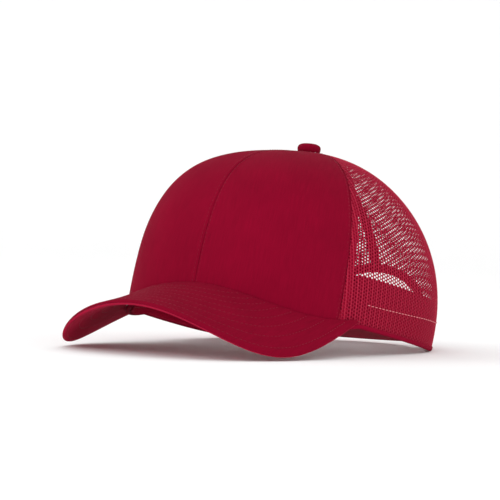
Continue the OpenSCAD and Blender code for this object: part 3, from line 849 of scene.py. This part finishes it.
def arch_binding():
    leg, lip = 4.5, 0.95
    half = [(leg, -0.48), (leg - 0.3, -0.62), (3.2, -0.62), (2.6, -0.5), (2.0, -0.62), (0.4, -0.66),
            (-0.5, -0.5), (-lip, 0.0)]
    mid = MESH / 2
    outside = half + [(a, 2 * mid - b) for a, b in half[::-1]]
    inside = [(leg, MESH + 0.22), (-0.25, MESH + 0.22), (-0.25, -0.16), (leg, -0.16)]
    section = outside + inside
    p = np.linspace(0, 180, 121)
    q, t = arch_edge(p)
    back = np.where(q > 180, q - 360, q)
    edge = crown(back, t)
    out = crown_out(back, t)
    ahead = unit(np.gradient(edge, axis=0))
    away = unit(np.cross(out, ahead))
    points = np.stack([edge + a * away - b * out for a, b in section], 1)
    c, r = points.shape[:2]
    i, j = np.meshgrid(np.arange(c - 1), np.arange(r), indexing="ij")
    a, b = (i * r + j).ravel(), (i * r + (j + 1) % r).ravel()
    faces = np.stack([a, a + r, b + r, b], 1).tolist()
    faces += [list(range(r))[::-1], list(range((c - 1) * r, c * r))]
    obj = make("arch_binding_tape", row(points), faces, tape_cloth_with_painted_light,
               uv=arc_uv(points).reshape(-1, 2))
    settle(obj, "tape", "arch_binding")
    length = float(np.linalg.norm(np.diff(edge, axis=0), axis=1).sum())
    around = float(np.linalg.norm(np.diff(points[0], axis=0), axis=1).sum())
    declare(obj, around / 2, length, around / 2 * length / 1e6, "folded")
    stitches("arch_binding_stitches", edge + 2.6 * away + 0.5 * out, out, tape_thread, "tape",
             3.0, 2.1, 0.2, 0.0)


arch_binding()

# ---------------------------------------------------------------- visor

VISOR_THICK = BOARD + 2 * VISOR_CLOTH + 2 * GAP
VISOR_MID = VISOR_THICK / 2
VISOR_SPAN = 0.955
ROWS_AT = [3.0 + 6.7 * k for k in range(8)]


def visor_grid(columns, ranks, power=1.5, inset=0.0, off=0.35):
    u = np.linspace(-1, 1, columns)[:, None]
    s = (np.linspace(0, 1, ranks) ** power)[None, :]
    edge = visor_edge(u * 90 * VISOR_SPAN, inset * (1 - 0.6 * np.abs(u) ** 8))
    q = u * (VISOR_END - 0.3)
    x, y = rim(q)
    x1, y1 = rim(q + 0.5)
    x0, y0 = rim(q - 0.5)
    out = unit(np.stack([y1 - y0, x0 - x1], -1))
    inner = np.stack([x, y], -1) + (0.35 + (off - 0.35) * (1 - u[..., None] ** 4)) * out
    p = edge * (1 - s[..., None]) + inner * s[..., None]
    run = np.linalg.norm(inner - edge, axis=-1)
    return p[..., 0], p[..., 1], (1 - s) * run


def visor_sheet(name, top):
    x, y, to_crown = visor_grid(261, 120)
    margin = np.maximum(visor_margin(x, y), 0)
    u = np.clip(1 - margin / 2.3, 0, 1)
    roll = (VISOR_MID - 0.06) * (1 - np.sqrt(np.maximum(1 - u * u, 0)))
    rows = sum(bump(margin - at, 0.5) for at in ROWS_AT)
    swell = sum(bump(margin - at - 3.3, 1.8) for at in ROWS_AT)
    along = x + 0.35 * y
    pucker = np.sin(along * 1.05 + 0.4 * np.sin(y * 0.9)) * rows
    seam = 1.25 * bump(to_crown, 0.55) if top else 0.0
    gather = np.sin(x * 0.75 + 0.6 * np.sin(x * 0.21)) * bump(to_crown - 1.5, 3.2)
    depth = (roll + 0.17 * rows + 0.05 * pucker - 0.05 * swell + seam + 0.07 * gather
             + 0.05 * ripple(x, y, 1.0))
    depth = np.clip(depth, -0.1, VISOR_MID - 0.05)
    thick = VISOR_CLOTH * np.clip(margin / 1.2, 0.05, 1)
    under = np.minimum(depth + np.maximum(thick, 0.05), VISOR_MID - 0.005)
    z = visor_z(x, y)
    if top:
        outer, inner = z - depth, z - under
    else:
        outer, inner = z - VISOR_THICK + depth, z - VISOR_THICK + under
    outer = np.stack([x, y, outer], -1)
    inner = np.stack([x, y, inner], -1)
    if not top:
        outer, inner = outer[::-1], inner[::-1]
    # The underside takes the lighter copy of the twill, with painted light.
    obj = settle(sheet_of(name + "_cloth", outer, inner, visor_cloth if top else under_cloth_with_painted_light,
                          closed_uv=outer[..., :2]), "visor_twill", name)
    declare(obj, *VISOR_CUT, flat_area(outer), "stretched", ["visor_board"])


def visor_rows(top):
    """Rows of stitching parallel to the outline, which end at the crown."""
    tag = "top" if top else "under"
    for k, at in enumerate(ROWS_AT):
        p = np.linspace(-89, 89, 900)
        xy = visor_edge(p, at)
        qa = np.degrees(np.arctan2(xy[:, 0], -xy[:, 1]))
        rx, ry = rim(qa)
        clear = np.hypot(xy[:, 0], xy[:, 1]) > np.hypot(rx, ry) + 2.4
        free = clear & (np.abs(qa) < VISOR_END - 2)
        xy = xy[free]
        if len(xy) < 20:
            continue
        x, y = xy[:, 0], xy[:, 1]
        z = visor_z(x, y)
        e = 0.5
        slope_x = (visor_z(x + e, y) - visor_z(x - e, y)) / (2 * e)
        slope_y = (visor_z(x, y + e) - visor_z(x, y - e)) / (2 * e)
        up = unit(np.stack([-slope_x, -slope_y, np.ones_like(x)], -1)) * (1 if top else -1)
        z = z - 0.16 if top else z - VISOR_THICK + 0.16
        stitches(f"visor_{tag}_row_{k + 1}", np.stack([x, y, z], -1), up, visor_thread,
                 "visor_twill", 2.7, 1.9, 0.15, 0.0)


def visor_board():
    x, y, _ = visor_grid(121, 50, 1.3, 2.5, 2.4)
    z = visor_z(x, y) - VISOR_CLOTH - GAP
    edge = np.maximum(visor_margin(x, y) - 2.5, 0)
    u = np.clip(1 - edge / 1.0, 0, 1)
    roll = BOARD / 2 * 0.9 * (1 - np.sqrt(np.maximum(1 - u * u, 0)))
    outer = np.stack([x, y, z - roll - 0.02], -1)
    inner = np.stack([x, y, z - BOARD + roll + 0.02], -1)
    settle(sheet_of("visor_board_sheet", outer, inner, board_plastic), "visor_board",
           "visor_board")


visor_sheet("visor_top_fabric", True)
visor_sheet("visor_under_fabric", False)
visor_board()
visor_rows(True)
visor_rows(False)

# ---------------------------------------------------------------- button


def lathe(name, profile, material, steps=72, wobble=None):
    """Turned shape about the button's axis; the profile is [radius, height] pairs."""
    a = np.arange(steps) * 2 * math.pi / steps
    r, h = (np.array(v)[None, :] for v in zip(*profile))
    rr = r + (0 if wobble is None else wobble(a[:, None], r, h))
    points = np.stack([rr * np.sin(a)[:, None], APEX_BACK - rr * np.cos(a)[:, None],
                       CROWN_HEIGHT + h + 0 * rr], -1)
    c, n = points.shape[:2]
    i, j = np.meshgrid(np.arange(c), np.arange(n - 1), indexing="ij")
    p, q = (i * n + j).ravel(), ((i + 1) % c * n + j).ravel()
    faces = np.stack([p, q, q + 1, p + 1], 1).tolist()
    faces.append([k * n + n - 1 for k in range(c)])
    faces.append([k * n for k in range(c)][::-1])
    uv = np.stack([points[..., 0], points[..., 1]], -1)
    return make(name, row(points), faces, material, uv=uv.reshape(-1, 2))


def button():
    """Cloth drawn over the shell, with small pleats where it turns under."""
    profile = [(0.4, -1.3), (3.0, -1.3), (BUTTON_R * 0.86, -1.3), (BUTTON_R * 0.90, -0.5)]
    for a in np.radians(np.linspace(-32, 88, 30)):
        rise = math.copysign(abs(math.sin(a)) ** 0.85, a)
        profile.append((BUTTON_R * math.cos(a) ** 0.62,
                        BUTTON_H * (0.47 + (0.53 if rise > 0 else 0.60) * rise)))

    def pleats(a, r, h):
        low = np.clip(1 - h / 3.2, 0, 1)
        return 0.14 * low * np.sin(14 * a) * (r > 3) + 0.05 * np.sin(3 * a + 1) * (r > 4)

    obj = lathe("button_cover_cloth", profile, button_cloth, 112, pleats)
    settle(obj, "front_twill", "button_cover")


button()

# ---------------------------------------------------------------- carried-over CAD nodes

for name, material in (("strap_with_holes", strap_plastic), ("strap_with_studs", strap_plastic),
                       ("strap_anchor_left", strap_plastic), ("strap_anchor_right", strap_plastic),
                       ("button_shell", steel), ("button_rivet", steel),
                       ("button_washer", steel)):
    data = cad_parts[name].data
    data.materials.clear()
    data.materials.append(material)

# ---------------------------------------------------------------- floor and light


# How far the floor lies under height 0, in metres, because the folded hem dips under it
FLOOR_DROP = 0.0008


def backdrop():
    """A pale floor that curves up into a wall behind."""
    n = Nodes("backdrop")
    place = n.add("TexCoord").outputs["Object"]
    base = n.tint(n.noise(place, 3.0), (0.94, 0.94, 0.94), (0.96, 0.96, 0.96))
    material = n.finish(base, roughness=0.9, Specular_IOR_Level=0.1)
    radius, back, wide, front, tall = 1.0, 2.2, 6.0, -4.0, 4.0
    line = [(front, 0.0)] + [(back + radius * math.sin(a), radius - radius * math.cos(a))
                             for a in np.linspace(0, math.pi / 2, 24)] + [(back + radius, tall)]
    turn = Matrix.Rotation(math.radians(CAMERA_AZIMUTH), 3, "Z")
    points = [turn @ Vector((x, y, z - FLOOR_DROP)) for y, z in line for x in (-wide, wide)]
    faces = [(2 * k, 2 * k + 1, 2 * k + 3, 2 * k + 2) for k in range(len(line) - 1)]
    obj = make("floor", points, faces, material)


def area_light(name, where, energy, wide, tall, target=(0, 0, 0.05)):
    data = bpy.data.lights.new(name, "AREA")
    data.energy, data.shape, data.size, data.size_y = energy, "RECTANGLE", wide, tall
    lamp = bpy.data.objects.new(name, data)
    lamp.location = where
    lamp.rotation_euler = (Vector(target) - Vector(where)).to_track_quat("-Z", "Y").to_euler()
    bpy.context.scene.collection.objects.link(lamp)


backdrop()
area_light("key", (-1.8, -1.7, 1.0), 16, 1.3, 1.3)
area_light("fill", (2.0, -1.2, 0.9), 1, 1.4, 1.4)
area_light("low", (0.9, -1.0, 0.04), 4, 1.2, 0.07, (-0.05, -0.1, 0.03))
area_light("top", (0.2, 0.3, 2.2), 3, 1.6, 1.6)
world = bpy.data.worlds.new("studio")
world.use_nodes = True
world.node_tree.nodes["Background"].inputs["Color"].default_value = (1, 1, 1, 1)
world.node_tree.nodes["Background"].inputs["Strength"].default_value = 1.0
bpy.context.scene.world = world
bpy.context.scene.view_settings.view_transform = "Standard"
